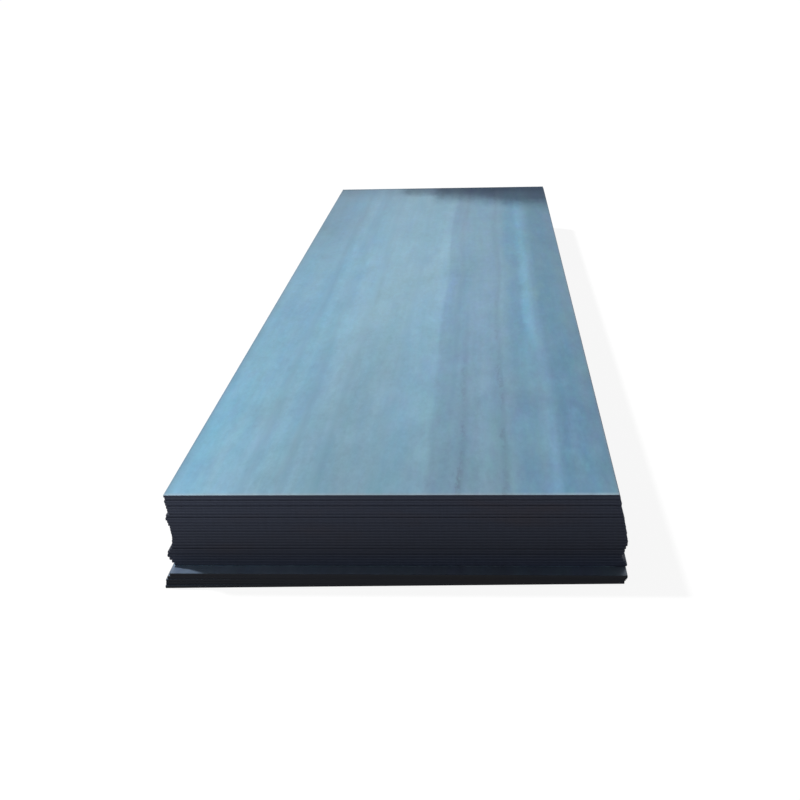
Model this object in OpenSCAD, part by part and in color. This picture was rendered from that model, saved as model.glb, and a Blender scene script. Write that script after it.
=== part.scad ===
// Stack of hot-rolled steel plates, laid flat in two lifts.
// Millimetres, Z up. The plates run along Y and their front ends face -Y.
// The origin is on the floor, at the middle of the stack's outline in plan.

/* [Plate] */
// Ordered width of a plate
plate_w = 1500; // [1000:10:2500]
// Ordered length of a plate
plate_l = 6000; // [2000:50:12000]
// Thickness of a plate
plate_t = 10; // [6:0.5:25]

/* [Sheared edge] */
// Radius of the upper corner, which the blade rolls over
rollover_r = 1.2; // [0.4:0.1:2]
// Height of the smooth upright band under the rolled corner
burnish_h = 3; // [1:0.5:3.5]
// How far the torn band under it leans in at its foot
tear_lean = 0.6; // [0:0.1:1.5]

/* [Stack] */
// Plates in the upper lift
upper_plates = 25; // [2:1:40]
// Plates in the lower lift
lower_plates = 5; // [2:1:15]
// Daylight that uneven flatness leaves between two plates
plate_gap = 0.3; // [0.1:0.1:0.8]

/* [How the plates lie] */
// Furthest that the long edges run sideways down the stack
side_run = 32; // [0:1:60]
// How far one plate may lie off the run of its neighbours
set_down = 1.5; // [0:0.5:5]
// How far the lower lift's top plate stands forward of the upper lift
ledge_reach = 64; // [0:1:150]
// How far the bottom plate stands forward of the upper lift
foot_reach = 45; // [0:1:150]
// Turn of the lower lift's top plate, in degrees anticlockwise from above
ledge_turn = -0.3; // [-3:0.1:3]
// Turn of the bottom plate, in degrees anticlockwise from above
foot_turn = 1.6; // [-3:0.1:3]

/* [Hidden] */
// Run of the long edges to the right: [share of a lift's height from its top, share of side_run]
upper_left_run = [[0, 0], [0.13, 0.05], [0.25, 0.38], [0.3, 0], [0.36, 0.04],
    [0.45, 0.34], [0.58, 0.48], [0.76, 0.34], [0.86, -0.24], [1, 0.5]];
upper_right_run = [[0, 0], [0.67, 1], [0.88, 0.42], [1, 0.9]];
lower_left_run = [[0, 0.37], [0.5, -0.05], [1, -0.05]];
lower_right_run = [[0, 0.75], [1, 0.6]];

plate_count = upper_plates + lower_plates;
plate_pitch = plate_t + plate_gap;
rollover_steps = 3;
trim = 5;

left_noise = rands(-1, 1, plate_count, 3);
right_noise = rands(-1, 1, plate_count, 5);
front_noise = rands(-1, 1, plate_count, 11);

// Plates are numbered from 1, the top one, down to plate_count on the floor.
function plate_name(i) = str("plate_", i < 10 ? "0" : "", i);
function in_upper(i) = i <= upper_plates;
function depth_share(i) = in_upper(i)
    ? (i - 1) / (upper_plates - 1)
    : (i - upper_plates - 1) / (lower_plates - 1);

// The upper lift lies square. A value of the lower lift goes evenly from its top plate to its bottom one.
function in_lower_lift(i, top, bottom) = in_upper(i) ? 0 : top + (bottom - top) * depth_share(i);

// Where a plate lies: its long edges, its front end, its turn and its underside
function left_edge(i) = -plate_w / 2 + set_down * left_noise[i - 1]
    + side_run * lookup(depth_share(i), in_upper(i) ? upper_left_run : lower_left_run);
function right_edge(i) = plate_w / 2 + set_down * right_noise[i - 1]
    + side_run * lookup(depth_share(i), in_upper(i) ? upper_right_run : lower_right_run);
function front_end(i) = set_down * front_noise[i - 1] - in_lower_lift(i, ledge_reach, foot_reach);
function turn(i) = in_lower_lift(i, ledge_turn, foot_turn);
function underside(i) = (plate_count - i) * plate_pitch;
function width(i) = right_edge(i) - left_edge(i);
function front_middle(i) = [(left_edge(i) + right_edge(i)) / 2, front_end(i)];

// Corner of a plate in plan: side is -1 or 1, and end is 0 at the front and 1 at the back
function corner(i, side, end) = front_middle(i)
    + side * width(i) / 2 * [cos(turn(i)), sin(turn(i))]
    + end * plate_l * [-sin(turn(i)), cos(turn(i))];
corners = [for (i = [1:plate_count], side = [-1, 1], end = [0, 1]) corner(i, side, end)];
corners_x = [for (c = corners) c.x];
corners_y = [for (c = corners) c.y];
plan_middle = [min(corners_x) + max(corners_x), min(corners_y) + max(corners_y)] / 2;

// One sheared edge, from the foot of the torn band up to the rolled corner
function edge_points(reach) = concat(
    [[reach - tear_lean, 0], [reach, plate_t - rollover_r - burnish_h]],
    [for (k = [0:rollover_steps]) let (a = 90 * k / rollover_steps)
        [reach - rollover_r * (1 - cos(a)), plate_t - rollover_r * (1 - sin(a))]]);
function mirrored(points) = [for (k = [len(points) - 1:-1:0]) [-points[k].x, points[k].y]];

// Section of a plate of this size, sheared on both sides
module sheared_section(size) {
    polygon(concat(edge_points(size / 2), mirrored(edge_points(size / 2))));
}

// Plate sheared on all four sides, with the middle of its front end at the origin
module sheared_plate(w, l) {
    intersection() {
        translate([0, l + trim, 0]) rotate([90, 0, 0])
            linear_extrude(l + 2 * trim) sheared_section(w);
        translate([-w / 2 - trim, l / 2, 0]) rotate([90, 0, 90])
            linear_extrude(w + 2 * trim) sheared_section(l);
    }
}

module plate(i) {
    place = front_middle(i) - plan_middle;
    color("#86a9bf")
        translate([place.x, place.y, underside(i)])
            rotate([0, 0, turn(i)])
                sheared_plate(width(i), plate_l);
}

for (i = [1:plate_count])
    plate(i);
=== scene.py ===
"""Dresses a stack of hot-rolled steel plates and sets it in a plain white studio."""
import math

import bpy
import numpy as np
from bpy.props import FloatProperty, FloatVectorProperty, IntProperty, PointerProperty
from mathutils import Matrix, Vector


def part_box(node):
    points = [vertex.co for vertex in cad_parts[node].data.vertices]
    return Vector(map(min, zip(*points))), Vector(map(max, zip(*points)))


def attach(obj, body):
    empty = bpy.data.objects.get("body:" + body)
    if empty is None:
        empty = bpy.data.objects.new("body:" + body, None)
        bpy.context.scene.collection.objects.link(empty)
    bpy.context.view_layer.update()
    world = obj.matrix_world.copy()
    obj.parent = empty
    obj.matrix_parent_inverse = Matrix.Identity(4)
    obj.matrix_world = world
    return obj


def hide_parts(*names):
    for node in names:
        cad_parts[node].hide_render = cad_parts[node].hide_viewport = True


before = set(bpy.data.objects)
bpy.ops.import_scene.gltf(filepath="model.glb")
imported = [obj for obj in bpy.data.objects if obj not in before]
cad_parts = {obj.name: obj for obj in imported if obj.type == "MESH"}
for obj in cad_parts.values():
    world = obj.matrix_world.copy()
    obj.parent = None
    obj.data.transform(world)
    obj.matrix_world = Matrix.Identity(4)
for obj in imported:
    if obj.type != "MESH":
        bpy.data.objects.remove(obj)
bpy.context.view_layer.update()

bl_info = {
    "name": "Steel plate stack",
    "version": (1, 0, 0),
    "blender": (4, 5, 0),
    "location": "View3D > Sidebar > Plates",
    "description": "Dresses a stack of hot-rolled steel plates and sets it in a plain studio",
    "category": "Object",
}

BODY = "root"

# The plates from the top one down, and what the solids say about them
PLATES = sorted(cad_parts)
TOP_PLATE = PLATES[0]
TOP_LOW, TOP_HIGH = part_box(TOP_PLATE)
SECOND_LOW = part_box(PLATES[1])[0]
THICKNESS = TOP_HIGH.z - TOP_LOW.z
LEDGE_PLATE = next(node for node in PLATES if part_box(node)[0].y < TOP_LOW.y - THICKNESS)
LEDGE_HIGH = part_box(LEDGE_PLATE)[1].z
PITCH = TOP_LOW.z - SECOND_LOW.z


def linear(code):
    """Linear colour of a hex code such as 86a9bf, by the standard screen curve."""
    shares = [int(code[k:k + 2], 16) / 255 for k in (0, 2, 4)]
    return tuple(s / 12.92 if s <= 0.04045 else ((s + 0.055) / 1.055) ** 2.4 for s in shares)


def length(name, description, default):
    """Property for a length in metres."""
    return FloatProperty(name=name, description=description, default=default, unit="LENGTH", precision=4)


def angle(name, description, degrees):
    """Property for an angle, given in degrees."""
    return FloatProperty(name=name, description=description, default=math.radians(degrees), unit="ROTATION")


def share(name, description, default):
    """Property for a plain share."""
    return FloatProperty(name=name, description=description, default=default, precision=3)


def colour(name, description, code):
    """Property for a colour, given as a hex code."""
    return FloatVectorProperty(name=name, description=description, default=linear(code), subtype="COLOR")


class PlateShape(bpy.types.PropertyGroup):
    """Sheared edges of the plates, and how uneven rolling leaves them."""

    step: length("Step", "Distance between two points along an edge", 0.025)
    rollover: length("Rolled corner", "Radius of the upper corner, which the blade rolls over", 0.0012)
    burnish: length("Smooth band", "Height of the smooth upright band under the rolled corner", 0.003)
    lean: length("Lean", "How far the torn band leans in at its foot", 0.0006)
    tear: length("Tear", "How deep the torn band is broken up", 0.0002)
    drop: length("Edge drop", "How much thinner rolling leaves a plate at its edge, on each face", 0.0002)
    drop_reach: length("Drop reach", "How far in from the edge a plate is thinner", 0.04)
    wave: length("Wave", "How far the top plate's upper face dips from flat", 0.001)
    seed: IntProperty(name="Seed", description="Start of the chance that breaks up the edges", default=7)


class ScaleFinish(bpy.types.PropertyGroup):
    """Blue mill scale of the rolled faces, in bands along the plate."""

    blue: colour("Blue", "Scale at the left side", "84a9be")
    cyan: colour("Cyan", "Thin bright scale in a streak and at the front left corner", "84b5cd")
    pale: colour("Pale", "Pale scale in the middle", "91b3c4")
    grey: colour("Grey", "Greyer band right of the middle", "84a2b6")
    violet: colour("Violet", "Darker band right of the grey one", "7699b2")
    slate: colour("Slate", "Dark scale along the right side", "668aa1")
    warm: colour("Warm", "Warmer patches where the scale is worn", "86929f")
    mark: colour("Mark", "Violet grey of the dark lines that the rolls left", "787e96")
    # Painted highlight: a bright line along the front end that stands in for the light the rolled corner
    # mirrors
    front_highlight: colour("Bare", "Bright worn line along the front end", "a3b0b8")
    dull: colour("Dull", "Duller scale towards the back end", "768292")
    stain: colour("Stain", "Dark stain at the back", "384253")
    # Also painted shade: this colour darkens the steps as the shade under the top plate would
    dust_and_shade: colour("Dust", "Dust on the steps that stand out under the top plate", "626b7f")
    tint: colour("Grazing tint", "What the scale keeps of a mirrored light at a grazing angle", "b8cdd9")
    metallic: share("Metallic", "How metallic the scale is", 0.8)
    roughness: share("Roughness", "Mean roughness of the scale", 0.36)


# Lines that the rolls left along a plate: place across it, half their width, and how much lighter or darker
# they are towards the front end and towards the back end
ROLL_LINES = [
    (0.163, 0.02, -0.035, -0.05),
    (0.205, 0.021, 0.03, 0.045),
    (0.247, 0.02, -0.045, -0.028),
    (0.33, 0.02, -0.04, -0.028),
    (0.473, 0.02, -0.015, -0.025),
    (0.558, 0.022, 0.0, 0.03),
    (0.63, 0.016, 0.0, -0.05),
    (0.661, 0.014, -0.11, 0.01),
    (0.713, 0.024, 0.05, 0.0),
    (0.756, 0.014, -0.09, -0.06),
]
# A ramp's colours go from 0 to 1, so it holds a half plus this many times a line's change
LINE_SCALE = 4.0


class EdgeFinish(bpy.types.PropertyGroup):
    """Dark sheared edges of the plates."""

    smooth: colour("Smooth band", "Upper, smooth band of the cut", "444a5a")
    torn: colour("Torn band", "Lower, torn band of the cut", "3a3f50")
    rim: colour("Rim", "Rolled corner, with dirt in it", "3a3f4b")
    rust: colour("Rust", "Thin brown rust in patches", "4a3f3f")
    # Painted shade: this blue tint stands in for the bluish light in the shade low in the stack
    low: colour("Low", "Bluer cut of the plates low in the stack", "3c465c")
    metallic: share("Metallic", "How metallic the cut is", 0.22)
    specular: share("Specular", "Specular level of the cut", 0.2)


class StudioSet(bpy.types.PropertyGroup):
    """Camera, light and floor."""

    camera_front: length("Camera in front", "Distance of the camera before the front ends", 4.0633)
    camera_side: length("Camera to the side", "Distance of the camera right of the plate's middle", 0.3215)
    camera_rise: length("Camera above", "Height of the camera over the top plate", 1.6834)
    heading: angle("Heading", "Turn of the camera to the left", 3.89)
    tilt: angle("Tilt", "Tilt of the camera below level", 18.42)
    roll: angle("Roll", "Roll of the camera", -1.56)
    lens: FloatProperty(
        name="Lens", description="Focal length in millimetres", default=60.41, unit="CAMERA"
    )
    sun_heading: angle("Light heading", "Where the soft light stands, to the left of straight behind", 62)
    sun_rise: angle("Light height", "Height of the soft light over the horizon", 50)
    sun_size: angle("Light size", "Width of the soft light in the sky", 5)
    sun_strength: share("Light strength", "Strength of the soft light", 3.4)
    fill_strength: share("Fill strength", "Power of the small light at the front left, in watts", 5.5)
    side_strength: share("Side strength", "Power of the low light along the right side, in watts", 27)
    ambient: share("Ambient", "Light from all round", 0.13)
    floor_grey: share("Floor", "How much light the floor throws back", 0.12)
    floor_glow: share("Floor white", "What lifts the lit floor to white for the eye", 0.91)


def plan_corners(node):
    """Corners of a plate in plan: front left, front right, back right and back left.

    Each is the vertex of the node that reaches furthest along one of the four diagonals.
    """
    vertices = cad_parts[node].data.vertices
    points = np.empty(3 * len(vertices), np.float32)
    vertices.foreach_get("co", points)
    plan = points.reshape(-1, 3)[:, :2].astype(float)
    diagonals = np.array([[-1, -1], [1, -1], [1, 1], [-1, 1]])
    return plan[np.argmax(plan @ diagonals.T, axis=0)]


def side_steps(corners, step):
    """Whole numbers of steps across the front end and along a long side."""
    across = np.linalg.norm(corners[1] - corners[0])
    along = np.linalg.norm(corners[2] - corners[1])
    return round(across / step), round(along / step)


def outline(corners, counts):
    """Points round a plate, anticlockwise from its front left corner, and what an inset of 1 adds to each.

    Each side goes from its corner to the next in equal steps. The inset follows the two sides that meet at
    a corner, and in between it goes evenly from one corner's inset to the next one's, so that every inset
    gives a smaller rectangle in as many steps.
    """
    ends = np.roll(corners, -1, axis=0)
    runs = (ends - corners) / np.linalg.norm(ends - corners, axis=1)[:, None]
    inward = np.stack([-runs[:, 1], runs[:, 0]], axis=1)
    at_corner = inward + np.roll(inward, 1, axis=0)
    at_end = np.roll(at_corner, -1, axis=0)
    points = []
    insets = []
    for side in range(4):
        t = np.linspace(0, 1, counts[side % 2], endpoint=False)[:, None]
        points.append(corners[side] + t * (ends[side] - corners[side]))
        insets.append(at_corner[side] + t * (at_end[side] - at_corner[side]))
    return np.concatenate(points), np.concatenate(insets)


def uneven(count, low, high, chance):
    """A closed run of uneven heights from 0 to 1, for this many points round an outline.

    It adds up sine waves that go a whole number of times round, from low to high, each with a chance
    phase and a height of one over the root of its number.
    """
    waves = np.arange(low, high)
    turns = np.arange(count) / count
    phases = chance.uniform(0, 2 * math.pi, waves.size)
    run = np.sin(2 * math.pi * np.outer(turns, waves) + phases) @ waves ** -0.5
    return (run - run.min()) / (run.max() - run.min())


def edge_profile(shape):
    """Section of a plate's edge, from the upper face out round the edge to the underside.

    The rows are points with their inset, height, share of the edge drop and share of the tear. The rolled
    corner is a quarter circle, the smooth band under it is upright, and the torn band leans in.
    """
    quarter = np.radians([90, 60, 30, 0])
    smooth_foot = THICKNESS - shape.rollover - shape.burnish
    reach = shape.drop_reach
    corner = np.stack(
        [
            shape.rollover * (1 - np.cos(quarter)),
            THICKNESS - shape.rollover * (1 - np.sin(quarter)),
            -np.ones(4),
            np.zeros(4),
        ],
        axis=1,
    )
    face = [[reach, THICKNESS, 0, 0], [reach / 3, THICKNESS, -0.6, 0]]
    torn = [
        [0, smooth_foot, -0.3, 0.2],
        [0.3 * shape.lean, 0.7 * smooth_foot, 0, 1],
        [0.7 * shape.lean, 0.3 * smooth_foot, 0.4, 0.8],
        [shape.lean, 0, 1, 0.9],
    ]
    underside = [[reach / 3, 0, 0.6, 0], [reach, 0, 0, 0]]
    return np.concatenate([face, corner, torn, underside])


# How many bands of a plate keep the rolled finish, from its upper face outwards. Plates not named here have
# none. The cut edge goes on from there to its last band.
ROLLED_BANDS = {TOP_PLATE: 5} | {node: 2 for node in PLATES[PLATES.index(LEDGE_PLATE):]}
LAST_EDGE_BAND = 8
# Faces that meet at more than this angle keep a sharp edge
SHARP_ANGLE = math.radians(40)
# Sine waves round a plate: the edge drop has those from the first number to the second, and the tear has
# those from there up to one for every few points
DROP_WAVES = (4, 60)
POINTS_A_WAVE = 3


def edge_bands(corners, counts, foot, shape, chance):
    """The edge profile carried round a plate's outline, as rings of points.

    A ring's point is the outline moved in by the profile's inset and by its share of an uneven tear, at
    the profile's height less or more its share of an uneven edge drop.
    """
    points, insets = outline(corners, counts)
    inset, height, dropped, torn = (column[:, None] for column in edge_profile(shape).T)
    count = len(points)
    drop = shape.drop * (0.4 + 0.6 * uneven(count, *DROP_WAVES, chance))
    tear = shape.tear * uneven(count, DROP_WAVES[1], count // POINTS_A_WAVE, chance)
    moved = points + (inset + torn * tear)[:, :, None] * insets
    heights = foot + height + dropped * drop
    return np.concatenate([moved, heights[:, :, None]], axis=2)


def band_faces(ring_count, count):
    """Quads between each ring and the next, facing outwards."""
    ring, point = np.meshgrid(np.arange(ring_count - 1), np.arange(count), indexing="ij")
    after = (point + 1) % count
    here = ring * count
    below = here + count
    return np.stack([here + point, below + point, below + after, here + after], axis=2).reshape(-1, 4)


def cross_faces(start, counts):
    """Faces that close a ring, facing up: quads from left to right, and one face at each end."""
    across, along = counts
    count = 2 * (across + along)
    station = np.arange(1, along - 1)
    right = start + across + station
    left = start + count - station
    quads = np.stack([left, right, right + 1, left - 1], axis=1)
    front = [start + count - 1] + list(range(start, start + across + 2))
    back = list(range(start + across + along - 1, start + 2 * across + along + 2))
    return quads.tolist() + [front, back]


def wavy_face(ring, counts, shape):
    """Points of the top plate's upper face inside its first ring, and the grid of their numbers.

    The points are a grid between the ring's corners. Each dips from flat by a rim share times a swell. The
    rim share is half a sine wave along times half a sine wave across, so it is nothing at the ring. The
    swell is a half less two slow sine waves. The grid has the ring's numbers at its border and leaves the
    inner ones to be filled in.
    """
    across, along = counts
    corners = ring[[0, across, across + along, 2 * across + along]]
    v, u = np.meshgrid(np.linspace(0, 1, along + 1), np.linspace(0, 1, across + 1), indexing="ij")
    weights = np.stack([(1 - u) * (1 - v), u * (1 - v), u * v, (1 - u) * v], axis=2)
    grid = weights @ corners
    rim = np.sin(math.pi * u) * np.sin(math.pi * v)
    swell = 0.5 - 0.3 * np.sin(9 * math.pi * v + 2 * u) - 0.2 * np.sin(5 * math.pi * u + 4 * v)
    grid[:, :, 2] -= shape.wave * rim * swell
    count = 2 * (across + along)
    index = np.zeros(grid.shape[:2], int)
    index[0, :] = np.arange(across + 1)
    index[:, -1] = across + np.arange(along + 1)
    index[-1, ::-1] = across + along + np.arange(across + 1)
    index[::-1, 0] = (2 * across + along + np.arange(along + 1)) % count
    inner = grid[1:-1, 1:-1].reshape(-1, 3)
    return inner, index


def grid_faces(index):
    """Quads of a grid of point numbers, facing up."""
    return np.stack([index[:-1, :-1], index[:-1, 1:], index[1:, 1:], index[1:, :-1]], axis=2).reshape(-1, 4)


def roll_plate(node, materials, shape):
    """Makes one plate in place of its solid: its edge bands, its upper face and its underside."""
    chance = np.random.default_rng([shape.seed, PLATES.index(node)])
    corners = plan_corners(node)
    counts = side_steps(corners, shape.step)
    rings = edge_bands(corners, counts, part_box(node)[0].z, shape, chance)
    ring_count, count = rings.shape[:2]
    points = rings.reshape(-1, 3)
    bands = band_faces(ring_count, count)
    underside = [face[::-1] for face in cross_faces((ring_count - 1) * count, counts)]
    if node == TOP_PLATE:
        inner, index = wavy_face(rings[0], counts, shape)
        index[1:-1, 1:-1] = len(points) + np.arange(len(inner)).reshape(index[1:-1, 1:-1].shape)
        points = np.concatenate([points, inner])
        upper = grid_faces(index).tolist()
    else:
        upper = cross_faces(0, counts)
    mesh = bpy.data.meshes.new("rolled_" + node)
    mesh.from_pydata(points.tolist(), [], bands.tolist() + upper + underside)
    slots = np.zeros(len(mesh.polygons), np.int32)
    slots[ROLLED_BANDS.get(node, 0) * count:(LAST_EDGE_BAND + 1) * count] = 1
    for material in materials:
        mesh.materials.append(material)
    mesh.polygons.foreach_set("material_index", slots)
    mesh.polygons.foreach_set("use_smooth", np.ones(len(mesh.polygons), bool))
    mesh.set_sharp_from_angle(angle=SHARP_ANGLE)
    mesh.validate()
    piece = bpy.data.objects.new("rolled_" + node, mesh)
    bpy.context.scene.collection.objects.link(piece)
    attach(piece, BODY)
    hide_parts(node)


def paired(operation):
    """A Math node's operation as an operator and as its reflected form."""

    def plain(self, other):
        return self.math(operation, self, other)

    def reflected(self, other):
        return self.math(operation, other, self)

    return plain, reflected


def set_stops(ramp, stops):
    """Gives a colour ramp these stops, each a place and a colour, with smooth runs between them."""
    ramp.interpolation = "EASE"
    ramp.elements.remove(ramp.elements[1])
    ramp.elements[0].position, ramp.elements[0].color = stops[0]
    for place, shade in stops[1:]:
        ramp.elements.new(place).color = shade


class Value:
    """A socket of a material. Operators on it add Math nodes, and node() adds any other node."""

    __add__, __radd__ = paired("ADD")
    __sub__, __rsub__ = paired("SUBTRACT")
    __mul__, __rmul__ = paired("MULTIPLY")
    __truediv__, __rtruediv__ = paired("DIVIDE")
    __mod__, __rmod__ = paired("FLOORED_MODULO")

    def __init__(self, tree, socket=None):
        self.tree = tree
        self.socket = socket

    def node(self, kind, settings=None, sockets=None, output=0):
        """Adds a node: first its settings, such as a ramp's stops, then its sockets' values or links."""
        made = self.tree.nodes.new(kind)
        for name, setting in (settings or {}).items():
            if name == "stops":
                set_stops(made.color_ramp, setting)
            else:
                setattr(made, name, setting)
        for name, value in (sockets or {}).items():
            if isinstance(value, Value):
                self.tree.links.new(value.socket, made.inputs[name])
            else:
                made.inputs[name].default_value = value
        return Value(self.tree, made.outputs[output])

    def math(self, operation, first, second=0.0):
        """Adds a Math node."""
        return self.node("ShaderNodeMath", {"operation": operation}, {0: first, 1: second})

    def rise(self, low, high):
        """0 below low, 1 above high, and a smooth rise between."""
        return self.node(
            "ShaderNodeMapRange", {"interpolation_type": "SMOOTHSTEP"}, {0: self, 1: low, 2: high}
        )

    def band(self, low, high, soft):
        """1 between low and high, falling off smoothly over soft at each side."""
        return self.rise(low - soft, low + soft) * (1 - self.rise(high - soft, high + soft))

    def part(self, axis):
        """One axis of a vector."""
        return self.node("ShaderNodeSeparateXYZ", None, {0: self}, axis)

    def noise(self, per_metre, detail=3.0, rough=0.5):
        """Cloudy noise from 0 to 1 on a vector, with this many clouds a metre along X, Y and Z."""
        stretched = self.node(
            "ShaderNodeVectorMath", {"operation": "MULTIPLY"}, {0: self, 1: per_metre}
        )
        return self.node(
            "ShaderNodeTexNoise",
            None,
            {"Vector": stretched, "Scale": 1.0, "Detail": detail, "Roughness": rough},
        )

    def blend(self, first, second):
        """The first colour where this is 0, the second where it is 1, and a mix between."""
        return self.node("ShaderNodeMix", {"data_type": "RGBA"}, {0: self, 6: first, 7: second}, 2)

    def ramp(self, stops):
        """The colour at this value between stops, each of them a place and a colour."""
        return self.node("ShaderNodeValToRGB", {"stops": stops}, {0: self})

    def lit(self, amount, turn=0.0, richness=1.0):
        """This colour, brighter and richer by these factors, its hue turned by a share of a circle."""
        return self.node(
            "ShaderNodeHueSaturation",
            None,
            {"Hue": 0.5 + turn, "Saturation": richness, "Value": amount, "Color": self},
        )


def new_material(name):
    """An empty material, its shader node and the object's own coordinates in metres."""
    material = bpy.data.materials.new(name)
    material.use_nodes = True
    tree = material.node_tree
    shader = tree.nodes["Principled BSDF"]
    place = Value(tree).node("ShaderNodeTexCoord", None, None, "Object")
    return material, shader, place


def rgba(value):
    """A colour with full alpha, for a socket."""
    return (*value, 1.0)


# Where the pale middle of the scale gives way to the grey band, across the plate
PALE_END = (0.574, 0.592)


class ScaleSpot:
    """Where a spot lies on the top plate, and the noises there that the parts of its scale share.

    The place across and along the top plate goes from 0 to 1. Rolling stretches the scale, so most noises
    are stretched along the plate. The wandering place across is the true one plus a slow sway.
    """

    def __init__(self, place):
        self.place = place
        self.across = (place.part(0) - TOP_LOW.x) / (TOP_HIGH.x - TOP_LOW.x)
        self.along = (place.part(1) - TOP_LOW.y) / (TOP_HIGH.y - TOP_LOW.y)
        self.clouds = place.noise((2.0, 0.9, 1.0), 4.0, 0.6)
        self.hues = place.noise((8.0, 1.6, 1.0), 4.0, 0.65)
        self.blotches = place.noise((9.0, 3.5, 1.0), 5.0, 0.7)
        self.streaks = place.noise((9.0, 0.25, 1.0), 5.0, 0.6)
        self.threads = place.noise((45.0, 1.2, 1.0), 2.0)
        self.grain = place.noise((55.0, 20.0, 40.0), 5.0, 0.75)
        sway = 0.05 * (place.noise((1.5, 0.8, 1.0)) - 0.5)
        self.wander = self.across + sway + 0.03 * (self.streaks - 0.5)
        self.near = 1 - self.along.rise(0.0, 0.55)
        self.left_edge = (1 - self.across.rise(0.03, 0.2)) * self.along.rise(0.55, 0.8)


def rolled_bands(spot, finish):
    """Colour of the scale in bands across the plate, bluer left of the grey band towards the front end."""
    blue, pale, grey = (rgba(c) for c in (finish.blue, finish.pale, finish.grey))
    violet, slate = (rgba(c) for c in (finish.violet, finish.slate))
    tone = spot.wander.ramp(
        [
            (0.14, blue),
            (0.4, pale),
            (PALE_END[0], pale),
            (PALE_END[1], grey),
            (0.77, grey),
            (0.81, violet),
            (0.87, violet),
            (0.905, slate),
        ]
    )
    return (0.6 * spot.near * (1 - spot.wander.rise(*PALE_END))).blend(tone, blue)


def bright_scale(spot):
    """Share of thin bright scale: the front left corner, and a wavy streak at the right in three parts."""
    corner = 0.6 * spot.near * (1 - spot.across.rise(0.0, 0.3))
    wiggle = spot.wander + 0.02 * (spot.blotches - 0.5)
    main = 0.75 * wiggle.band(0.838, 0.868, 0.014) * spot.along.band(0.31, 0.88, 0.05)
    main = main * (1 - 0.3 * spot.along.rise(0.65, 0.8))
    middle = 0.3 * wiggle.band(0.818, 0.844, 0.014) * spot.along.band(0.18, 0.3, 0.03)
    branch = 0.2 * wiggle.band(0.856, 0.88, 0.012) * (1 - spot.along.rise(0.12, 0.2))
    return corner + (main + middle + branch) * (0.6 + 0.4 * spot.hues.rise(0.35, 0.6))


def patches(spot, finish, tone):
    """The tone with cyan and warm patches, duller towards the back end and along its left edge."""
    tone = (0.32 * spot.hues.rise(0.5, 0.8)).blend(tone, rgba(finish.cyan))
    tone = (0.26 - 0.26 * spot.hues.rise(0.2, 0.5)).blend(tone, rgba(finish.warm))
    dulled = 0.1 * spot.along.rise(0.6, 0.85) + 0.4 * spot.along.rise(0.88, 1.0) + 0.15 * spot.left_edge
    return (dulled * (0.5 + spot.blotches)).blend(tone, rgba(finish.dull))


def line_stops(end):
    """Stops of a ramp across the plate for the roll lines, at its front end, 0, or its back end, 1."""
    return [
        (middle + side * reach, rgba([0.5 + LINE_SCALE * change] * 3))
        for middle, reach, *changes in ROLL_LINES
        for side, change in ((-1, 0.0), (0, changes[end]), (1, 0.0))
    ]


def roll_lines(spot):
    """How much lighter and how much darker the lines that the rolls left are.

    A line goes from its change at the front end to its change at the back end. Blotches break up the light
    lines, and grain and blotches the dark ones, more so in the right half.
    """
    wobble = spot.wander + 0.025 * (spot.grain - 0.5) + 0.02 * (spot.blotches - 0.5)
    lines = spot.along.rise(0.05, 0.5).blend(wobble.ramp(line_stops(0)), wobble.ramp(line_stops(1)))
    marked = (lines - 0.5) / LINE_SCALE
    rough = spot.across.rise(0.5, 0.6)
    flecks = spot.grain.rise(0.35, 0.65) * spot.blotches.rise(0.25, 0.65)
    broken = 0.4 - 0.3 * rough + (1.5 + 0.9 * rough) * flecks
    lighter = spot.place.math("MAXIMUM", marked, 0.0) * (0.3 + 0.9 * spot.blotches)
    darker = spot.place.math("MAXIMUM", 0.0 - marked, 0.0) * broken
    return lighter, darker


def dull_sides(spot):
    """Share of dull scale along the two long edges: a margin, and a thin line at the very edge."""
    margins = 0.25 * (1 - spot.across.band(0.014, 0.965, 0.012))
    return margins + (1 - spot.across.band(0.004, 0.996, 0.004)) * (0.1 + 0.6 * spot.blotches)


def stain_share(spot):
    """Share of the dark stain at the back.

    It is deep at the right, thin at the left, and has a faint tail along the right edge. Clouds, blotches
    and threads make its edge ragged.
    """
    wisps = 0.03 * spot.clouds + 0.07 * spot.blotches + 0.016 * spot.threads - 0.058
    edge = spot.along + 0.03 * spot.across.rise(0.6, 0.9) + wisps
    sideways = spot.across + 0.04 * (spot.blotches - 0.5)
    right_side = 0.78 * sideways.rise(0.44, 0.51) + 0.22 * spot.across.rise(0.5, 0.85)
    spread = 0.84 * edge.rise(0.865, 0.96) + 0.18 * spot.along.rise(0.93, 1.0)
    spread = spread * (0.87 + 0.26 * spot.hues)
    left_side = (1 - right_side) * (0.12 + 0.45 * sideways.rise(0.27, 0.34))
    tail = 0.15 * spot.across.rise(0.87, 0.93) * edge.rise(0.76, 0.9) * (1 - spread)
    return right_side * spread + left_side * edge.rise(0.93, 0.985) + tail


def dirt_share(spot, stained):
    """Share of the stain's colour: the stain, a dark line at the back end and flecks at the left edge."""
    back_line = 0.5 * spot.along.rise(0.987, 0.998)
    fringe = 0.15 * (1 - spot.across.rise(0.0, 0.04)) * spot.grain.rise(0.5, 0.7)
    return 1 - (1 - stained) * (1 - back_line) * (1 - fringe)


def step_share(spot):
    """1 on the steps that stand out under the top plate, and 0 on that plate and where it covers them."""
    covered = spot.along.rise(-0.0006, 0.0) * spot.across.band(0.01, 0.99, 0.01)
    on_top = spot.place.part(2).rise(TOP_LOW.z - THICKNESS, TOP_LOW.z)
    return (1 - covered) * (1 - on_top)


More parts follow.
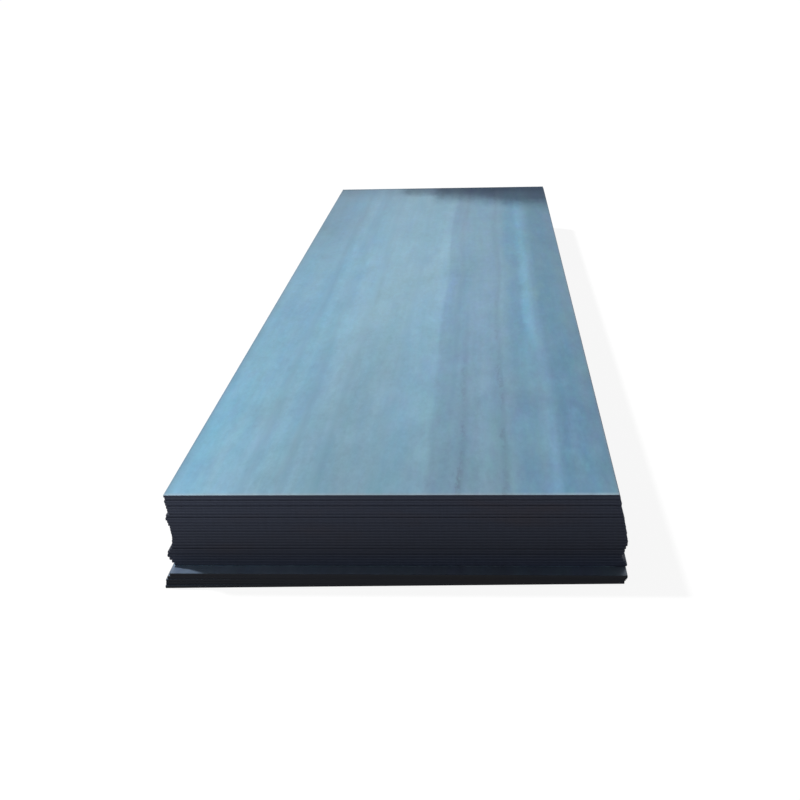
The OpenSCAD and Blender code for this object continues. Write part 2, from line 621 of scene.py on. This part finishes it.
def dusty_shaded_steps(spot, finish, tone, steps):
    """The tone with the steps dusty and in painted shade, darker to the right, and a painted highlight along
    the front end.
    """
    tone = (0.85 * steps).blend(tone, rgba(finish.dust_and_shade))
    # Painted shade on the steps, darker towards the right
    shade = 0.12 - 0.12 * spot.across.rise(0.1, 0.5) + 0.25 * spot.across.rise(0.1, 1.0)
    tone = tone.lit(1 - steps * shade)
    # Painted highlight along the top plate's front end
    worn = 0.5 * (1 - spot.along.rise(0.0, 0.004)) * (1 - steps) * (0.5 + spot.blotches)
    return worn.blend(tone, rgba(finish.front_highlight))


def brightness(spot, lighter, darker):
    """What the scale's colour is multiplied by.

    The noises add up to about 1. Roll lines, chatter marks across the plate and the edges add to that or
    take from it, and soft shades over parts of the plate multiply it.
    """
    light = 0.275 + 0.3 * spot.clouds + 0.25 * spot.streaks + 0.1 * spot.threads
    light = light + 0.4 * spot.blotches + 0.4 * spot.grain
    chatter = spot.place.noise((1.0, 14.0, 1.0), 2.0) - 0.5
    chatter = chatter * spot.across.band(0.58, 0.8, 0.06) * spot.along.band(0.48, 0.62, 0.06)
    light = light + 0.9 * lighter - 1.05 * darker + 0.15 * chatter
    light = light - 0.12 * spot.left_edge + 0.08 * spot.near * (1 - spot.across.rise(0.0, 0.12))
    front = 0.15 * spot.near + 0.08 * (1 - spot.along.rise(0.0, 0.14))
    light = light * (1 - front * spot.across.rise(0.15, 0.45) * (1 - spot.across.rise(0.75, 0.95)))
    light = light * (1.105 + 0.04 * (1 - spot.across.rise(0.1, 0.5)))
    return light * (1 + 0.075 * spot.along.band(0.26, 0.58, 0.12) * (1 - spot.across.rise(0.35, 0.55)))


def hue_turn(spot):
    """How far the scale's hue is turned: noise about 0, stronger from the grey band to the right."""
    strength = 0.07 + 0.05 * spot.wander.rise(0.5, 0.62)
    return strength * (spot.place.noise((8.0, 1.7, 1.0), 4.0, 0.8) - 0.5)


def colour_richness(spot):
    """How rich the scale's colour is: noise about 1, and a little more at the back right."""
    richness = 0.73 + 0.54 * spot.place.noise((6.0, 0.55, 1.0), 4.0, 0.8)
    return richness + 0.07 * spot.along.rise(0.55, 0.7) * spot.across.rise(0.6, 0.68)


def mill_scale(finish):
    """Blue mill scale in long bands, with roll lines, a bright streak and a dark stain at the back right.

    Its hue and richness drift, the steps that stand out under the top plate are dusty and in painted shade,
    and the front end has a painted highlight.
    """
    material, shader, place = new_material("rolled_scale")
    tree = material.node_tree
    spot = ScaleSpot(place)
    lighter, darker = roll_lines(spot)
    stained = stain_share(spot)
    steps = step_share(spot)

    tone = bright_scale(spot).blend(rolled_bands(spot, finish), rgba(finish.cyan))
    tone = patches(spot, finish, tone)
    tone = (1.8 * darker).blend(tone, rgba(finish.mark))
    tone = (4.0 * lighter).blend(tone, rgba(finish.pale))
    tone = dull_sides(spot).blend(tone, rgba(finish.dull))
    tone = dirt_share(spot, stained).blend(tone, rgba(finish.stain))
    tone = dusty_shaded_steps(spot, finish, tone, steps)
    tone = tone.lit(brightness(spot, lighter, darker), hue_turn(spot), colour_richness(spot))
    tree.links.new(tone.socket, shader.inputs["Base Color"])

    roughness = finish.roughness + 0.12 * (spot.streaks - 0.5) + 0.3 * stained + 0.1 * (spot.grain - 0.5)
    tree.links.new(roughness.socket, shader.inputs["Roughness"])
    tree.links.new((finish.metallic - 0.6 * steps).socket, shader.inputs["Metallic"])
    shader.inputs["Specular Tint"].default_value = rgba(finish.tint)
    relief = 0.6 * spot.grain + 0.4 * spot.threads
    bump = place.node("ShaderNodeBump", None, {"Strength": 0.12, "Distance": 0.0005, "Height": relief})
    tree.links.new(bump.socket, shader.inputs["Normal"])
    return material


# Heights between which the cut's painted blue shade fades out, and the rise over which the lower lift's
# painted shade ends, in metres
BLUE_SHADE_END = (0.06, 0.12)
LIFT_FADE = 0.002


def sheared_edge(finish):
    """Dark cut edge: a smooth band over a torn one on every plate, upright cut marks and thin rust.

    The height within a plate goes from 0 to 1 and starts again at each plate's underside. Painted shade
    makes the cut darker further down and darkest in the lower lift, a painted blue tint of shade makes it
    bluer low in the upper lift, and painted light makes the low cut lighter towards the right.
    """
    material, shader, place = new_material("sheared_edge")
    tree = material.node_tree
    up = place.part(2)
    height = (up % PITCH) / THICKNESS
    marks = place.noise((120.0, 120.0, 12.0), 2.0)
    rusty = place.noise((2.5, 2.5, 9.0))
    smooth = (height + 0.12 * (marks - 0.5)).rise(0.5, 0.66)
    tone = smooth.blend(rgba(finish.torn), rgba(finish.smooth))
    tone = (0.35 * rusty.rise(0.5, 0.75)).blend(tone, rgba(finish.rust))
    tone = (0.5 * height.rise(0.86, 0.97)).blend(tone, rgba(finish.rim))
    lower_lift = 1 - up.rise(LEDGE_HIGH, LEDGE_HIGH + LIFT_FADE)
    # Painted shade: a blue tint on the cut low in the upper lift
    low = 1 - up.rise(*BLUE_SHADE_END) - lower_lift
    tone = (0.55 * low).blend(tone, rgba(finish.low))
    # Painted shade: darker further down the stack and darkest in the lower lift; painted light: the low cut
    # of the upper lift lighter towards the right
    painted_shading = (0.3 + 0.7 * place.math("MAXIMUM", up / TOP_HIGH.z, 0.34)) * (1 - 0.75 * lower_lift)
    painted_shading = painted_shading * (1 + 0.5 * low * (place.part(0) / TOP_HIGH.x).rise(-1.0, 1.0))
    tree.links.new(tone.lit(painted_shading * (0.8 + 0.4 * marks)).socket, shader.inputs["Base Color"])
    tree.links.new((0.62 - 0.1 * smooth + 0.2 * (marks - 0.5)).socket, shader.inputs["Roughness"])
    shader.inputs["Metallic"].default_value = finish.metallic
    shader.inputs["Specular IOR Level"].default_value = finish.specular
    bump = place.node("ShaderNodeBump", None, {"Strength": 0.2, "Distance": 0.0003, "Height": marks})
    tree.links.new(bump.socket, shader.inputs["Normal"])
    return material


def finishes(scene):
    """The two materials of a plate, made on first use."""
    ready = bpy.data.materials
    scale = ready.get("rolled_scale") or mill_scale(scene.scale_finish)
    edge = ready.get("sheared_edge") or sheared_edge(scene.edge_finish)
    return [scale, edge]


class PLATES_OT_top_plate(bpy.types.Operator):
    """Makes the top plate, with its wavy upper face"""

    bl_idname = "plates.top_plate"
    bl_label = "Top plate"

    def execute(self, context):
        roll_plate(TOP_PLATE, finishes(context.scene), context.scene.plate_shape)
        return {"FINISHED"}


class PLATES_OT_plates_below(bpy.types.Operator):
    """Makes the plates under the top one, down to the floor"""

    bl_idname = "plates.plates_below"
    bl_label = "Plates below"

    def execute(self, context):
        for node in PLATES[1:]:
            roll_plate(node, finishes(context.scene), context.scene.plate_shape)
        return {"FINISHED"}


def seen_or_mirrored(tree):
    """1 for what the eye sees straight, mirrored or through glass, and 0 for light on a surface."""
    start = Value(tree)
    camera = start.node("ShaderNodeLightPath", None, None, "Is Camera Ray")
    glossy = start.node("ShaderNodeLightPath", None, None, "Is Glossy Ray")
    through = start.node("ShaderNodeLightPath", None, None, "Is Transmission Ray")
    return start.math("MINIMUM", camera + glossy + through, 1.0)


def make_world(scene, studio):
    """White all round for the eye and for mirrors, and an even light for surfaces."""
    world = bpy.data.worlds.new("studio")
    world.use_nodes = True
    tree = world.node_tree
    background = tree.nodes["Background"]
    background.inputs["Color"].default_value = (1, 1, 1, 1)
    strength = studio.ambient + (1 - studio.ambient) * seen_or_mirrored(tree)
    tree.links.new(strength.socket, background.inputs["Strength"])
    scene.world = world


# How far the floor reaches each way, and its height, a little under the stack, in metres
FLOOR_REACH = 200.0
FLOOR_HEIGHT = -0.0002


def make_floor(studio):
    """A wide pale floor just under the stack. A glow for the eye lifts it to white outside the shadow."""
    mesh = bpy.data.meshes.new("floor")
    corners = FLOOR_REACH * np.array([[-1, -1], [1, -1], [1, 1], [-1, 1]], float)
    points = np.concatenate([corners, np.full((4, 1), FLOOR_HEIGHT)], axis=1)
    mesh.from_pydata(points.tolist(), [], [[0, 1, 2, 3]])
    material = bpy.data.materials.new("pale_floor")
    material.use_nodes = True
    tree = material.node_tree
    tree.nodes.remove(tree.nodes["Principled BSDF"])
    start = Value(tree)
    grey = rgba([studio.floor_grey] * 3)
    matt = start.node("ShaderNodeBsdfDiffuse", None, {"Color": grey})
    glow = start.node("ShaderNodeEmission", None, {"Strength": studio.floor_glow * seen_or_mirrored(tree)})
    both = start.node("ShaderNodeAddShader", None, {0: matt, 1: glow})
    tree.links.new(both.socket, tree.nodes["Material Output"].inputs["Surface"])
    mesh.materials.append(material)
    floor = bpy.data.objects.new("floor", mesh)
    bpy.context.scene.collection.objects.link(floor)


# Where the small lights stand, in metres: the fill from the front left corner, and the side light from the
# right edge. The side light's width and height are shares of the stack's height.
FILL_PLACE = Vector((-0.6, -1.4, 0.3))
FILL_SIZE = 0.8
SIDE_DISTANCE = 2.0
SIDE_WIDTH = 0.5
SIDE_HEIGHT = 0.3


def add_light(scene, name, kind, strength, matrix):
    """Puts a light of this kind and strength into the scene, and gives its object."""
    light = bpy.data.objects.new(name, bpy.data.lights.new(name, kind))
    light.data.energy = strength
    light.matrix_world = matrix
    scene.collection.objects.link(light)
    return light


def make_lights(scene, studio):
    """A soft light from behind on the left, a small fill at the front left, and a low one at the right."""
    heading = Matrix.Rotation(studio.sun_heading, 4, "Z")
    tilt = Matrix.Rotation(-(math.pi / 2 - studio.sun_rise), 4, "X")
    soft = add_light(scene, "soft_light", "SUN", studio.sun_strength, heading @ tilt)
    soft.data.angle = studio.sun_size
    # Mirrored in the scale, it would turn the top plate white from the front right
    soft.visible_glossy = False

    target = Vector((TOP_LOW.x, TOP_LOW.y, TOP_HIGH.z / 2))
    facing = FILL_PLACE.to_track_quat("Z", "Y").to_matrix().to_4x4()
    matrix = Matrix.Translation(target + FILL_PLACE) @ facing
    fill = add_light(scene, "fill_light", "AREA", studio.fill_strength, matrix)
    fill.data.size = FILL_SIZE

    middle = (TOP_LOW.y + TOP_HIGH.y) / 2
    place = Vector((TOP_HIGH.x + SIDE_DISTANCE, middle, SIDE_HEIGHT * TOP_HIGH.z))
    matrix = Matrix.Translation(place) @ Matrix.Rotation(math.pi / 2, 4, "Y")
    side = add_light(scene, "side_light", "AREA", studio.side_strength, matrix)
    side.data.shape = "RECTANGLE"
    side.data.size = SIDE_WIDTH * TOP_HIGH.z
    side.data.size_y = TOP_HIGH.y - TOP_LOW.y


# The camera's sensor in millimetres, and how far it sees in metres
SENSOR_WIDTH = 36.0
FAR_END = 500.0


def make_camera(scene, studio):
    """The camera, set off from the top plate's front end, middle and upper face."""
    data = bpy.data.cameras.new("camera")
    data.lens = studio.lens
    data.sensor_width = SENSOR_WIDTH
    data.clip_end = FAR_END
    camera = bpy.data.objects.new("camera", data)
    middle = (TOP_LOW.x + TOP_HIGH.x) / 2
    place = Vector(
        (middle + studio.camera_side, TOP_LOW.y - studio.camera_front, TOP_HIGH.z + studio.camera_rise)
    )
    heading = Matrix.Rotation(studio.heading, 4, "Z")
    tilt = Matrix.Rotation(math.pi / 2 - studio.tilt, 4, "X")
    roll = Matrix.Rotation(studio.roll, 4, "Z")
    camera.matrix_world = Matrix.Translation(place) @ heading @ tilt @ roll
    scene.collection.objects.link(camera)
    scene.camera = camera


class PLATES_OT_studio(bpy.types.Operator):
    """Makes the world, the floor, the lights and the camera"""

    bl_idname = "plates.studio"
    bl_label = "Studio"

    def execute(self, context):
        scene = context.scene
        studio = scene.studio_set
        make_world(scene, studio)
        make_floor(studio)
        make_lights(scene, studio)
        make_camera(scene, studio)
        scene.view_settings.view_transform = "Standard"
        return {"FINISHED"}


GROUPS = {
    "plate_shape": PlateShape,
    "scale_finish": ScaleFinish,
    "edge_finish": EdgeFinish,
    "studio_set": StudioSet,
}
OPERATORS = [PLATES_OT_studio, PLATES_OT_top_plate, PLATES_OT_plates_below]


class PLATES_PT_panel(bpy.types.Panel):
    """Lists the settings and the steps of the stack"""

    bl_idname = "PLATES_PT_panel"
    bl_label = "Steel plate stack"
    bl_space_type = "VIEW_3D"
    bl_region_type = "UI"
    bl_category = "Plates"

    def draw(self, context):
        for name, group in GROUPS.items():
            box = self.layout.box()
            for setting in group.__annotations__:
                box.prop(getattr(context.scene, name), setting)
        for operator in OPERATORS:
            self.layout.operator(operator.bl_idname)


def register():
    for group in GROUPS.values():
        bpy.utils.register_class(group)
    for name, group in GROUPS.items():
        setattr(bpy.types.Scene, name, PointerProperty(type=group))
    for kind in [*OPERATORS, PLATES_PT_panel]:
        bpy.utils.register_class(kind)


def unregister():
    for kind in [PLATES_PT_panel, *reversed(OPERATORS)]:
        bpy.utils.unregister_class(kind)
    for name in GROUPS:
        delattr(bpy.types.Scene, name)
    for group in reversed(GROUPS.values()):
        bpy.utils.unregister_class(group)


def main():
    """Registers the classes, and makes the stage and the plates."""
    register()
    bpy.ops.plates.studio()
    bpy.ops.plates.top_plate()
    bpy.ops.plates.plates_below()
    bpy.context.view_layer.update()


if __name__ == "__main__":
    main()
